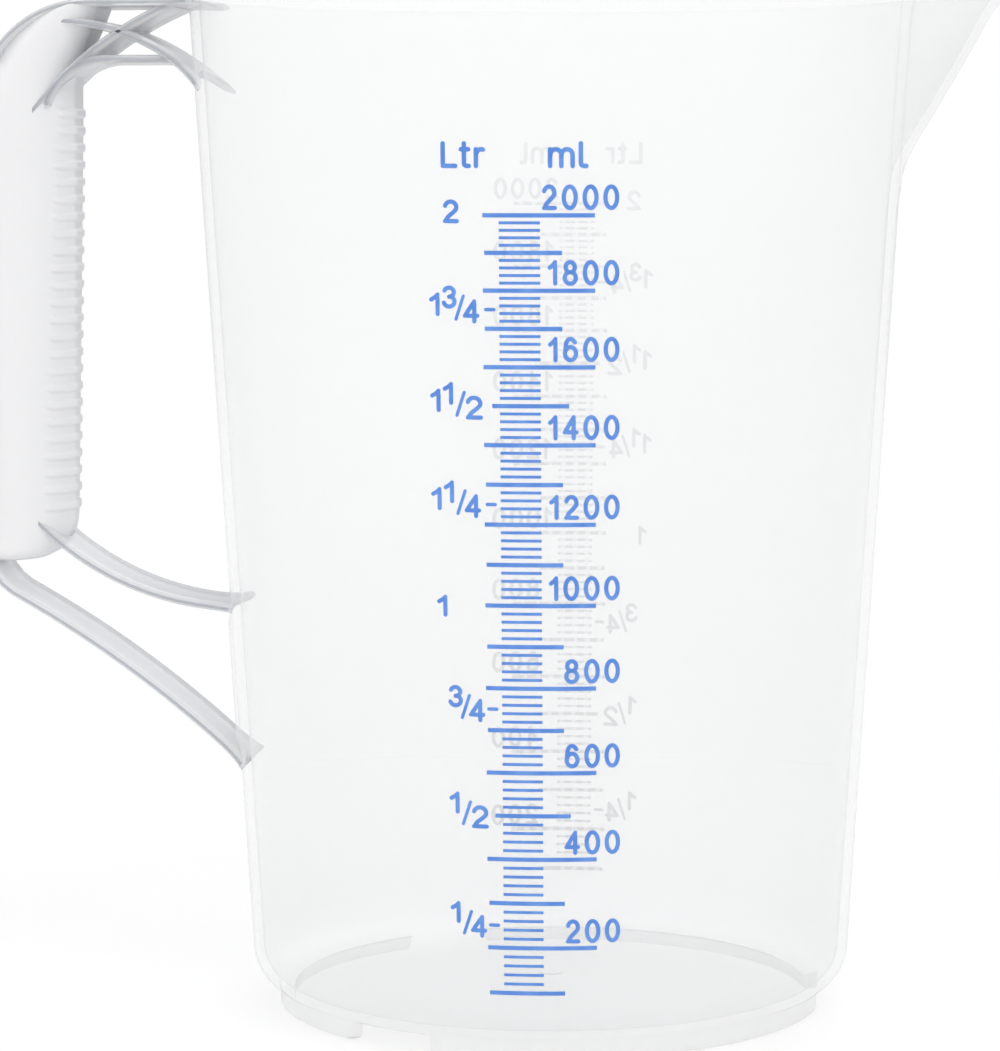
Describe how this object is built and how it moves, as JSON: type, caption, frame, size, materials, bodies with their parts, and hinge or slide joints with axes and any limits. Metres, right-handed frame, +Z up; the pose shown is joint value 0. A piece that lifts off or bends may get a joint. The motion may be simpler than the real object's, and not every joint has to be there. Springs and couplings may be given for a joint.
{
  "type": "measuring beaker",
  "caption": "Translucent graduated beaker with a pouring spout, a closed finger-ridged handle and a printed volume scale.",
  "frame": {"origin": "centre of the footprint's bounding box, on the resting plane", "axes": "+X towards the pouring spout, with the handle towards -X; +Z up; -Y towards the side that carries the front scale"},
  "size_m": [0.206, 0.1462, 0.2045],
  "materials": {
    "shell": "translucent natural polypropylene, satin",
    "rib": "translucent natural polypropylene, seen through its depth",
    "grip": "milky natural polypropylene, thick section",
    "ink": "blue screen-printed ink"
  },
  "bodies": {
    "root": {"body_wall": "shell", "base_heel": "shell", "floor_plate": "shell", "rim_lip": "shell", "spout": "shell", "foot_segment_front": "shell", "foot_segment_rear": "shell", "foot_segment_handle": "shell", "strut_pad": "shell", "handle_flange": "rib", "cross_rib_falling": "rib", "cross_rib_rising": "rib", "handle_arch": "rib", "upper_strut": "rib", "lower_strut": "rib", "strut_elbow": "rib", "grip_column": "grip", "grip_ridges": "grip", "scale_front": "ink", "scale_rear": "ink"}
  },
  "joints": []
}
